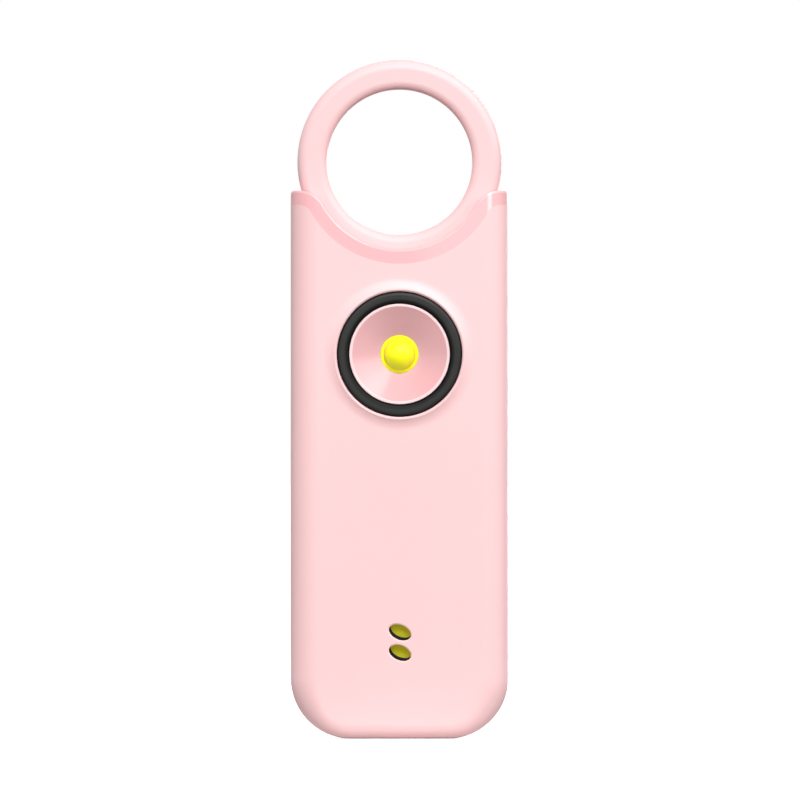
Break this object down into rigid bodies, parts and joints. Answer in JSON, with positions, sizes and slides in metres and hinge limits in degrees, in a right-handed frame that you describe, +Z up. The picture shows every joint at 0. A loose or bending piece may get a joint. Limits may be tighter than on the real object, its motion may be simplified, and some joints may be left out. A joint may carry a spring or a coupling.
{
  "type": "personal safety alarm",
  "caption": "Slim hand-held safety alarm: rounded case with a scooped top that holds a pull ring, a round strobe light in a black seal and sound slots in front, and a battery lid behind.",
  "frame": {"origin": "middle of the case's flat bottom, on the plane that the case stands on", "axes": "+Z up along the case towards the ring, +Y out of the rear face (the light faces -Y), +X to the right seen from the front"},
  "size_m": [0.0334, 0.016, 0.1038],
  "materials": {
    "case_plastic": "soft-touch satin, pale pink",
    "ring_plastic": "satin, pale pink",
    "collar_soft": "soft overmoulded collar, deeper pink",
    "seal_black": "satin black rubber",
    "reflector_pink": "smooth pink reflector",
    "led_yellow": "clear-coated yellow lens",
    "brass": "thin sounder brass",
    "piezo_ceramic": "silvered ceramic",
    "clamp_white": "moulded nylon",
    "pcb_green": "solder mask",
    "ferrite": "sintered ferrite",
    "copper_wire": "enamelled copper",
    "chip_black": "moulded epoxy",
    "tinned": "tinned leads",
    "capacitor_tan": "ceramic capacitor",
    "switch_black": "glass-filled nylon",
    "pin_white": "acetal",
    "steel": "zinc-plated steel",
    "nickel": "nickel-plated can",
    "magnet": "nickel-plated magnet",
    "wire_red": "PVC insulation",
    "wire_black": "PVC insulation"
  },
  "bodies": {
    "case": {"front_shell": "case_plastic", "rear_shell": "case_plastic", "top_collar": "collar_soft", "case_gasket": "seal_black", "keeper_plate": "steel", "strobe_seal": "seal_black", "strobe_reflector": "reflector_pink", "strobe_led": "led_yellow", "led_leads": "tinned", "circuit_board": "pcb_green", "boost_coil_core": "ferrite", "boost_coil_winding": "copper_wire", "driver_chip": "chip_black", "chip_leads": "tinned", "chip_capacitors": "capacitor_tan", "chip_resistors": "chip_black", "trigger_switch": "switch_black", "trigger_switch_cover": "switch_black", "trigger_spring": "steel", "siren_gasket": "seal_black", "siren_disc": "brass", "siren_ceramic": "piezo_ceramic", "siren_clamp": "clamp_white", "siren_leads": "wire_red", "battery_leads": "wire_black", "button_cells": "nickel", "battery_cradle": "switch_black", "battery_contact_plate": "tinned", "battery_contact_spring": "tinned", "case_screws": "steel", "board_screws": "steel"},
    "pull_top": {"pull_ring": "ring_plastic", "ring_magnet": "magnet"},
    "trigger_pin": {"trigger_plunger": "pin_white"},
    "battery_lid": {"battery_door": "case_plastic", "battery_door_gasket": "seal_black", "battery_door_screws": "steel"}
  },
  "joints": [
    {"name": "ring_pull", "type": "slide", "parent": "case", "child": "pull_top", "axis": [0, 0, 1], "range_m": [0, 0.025]},
    {"name": "trigger_travel", "type": "slide", "parent": "case", "child": "trigger_pin", "axis": [0, 0, 1], "range_m": [0, 0.0008], "deforming": ["trigger_spring"]},
    {"name": "battery_lid_lift", "type": "slide", "parent": "case", "child": "battery_lid", "axis": [0, 1, 0], "range_m": [0, 0.014]}
  ],
  "couplings": [
    {"joint": "trigger_travel", "follows": "ring_pull", "ratio": 0.032}
  ]
}
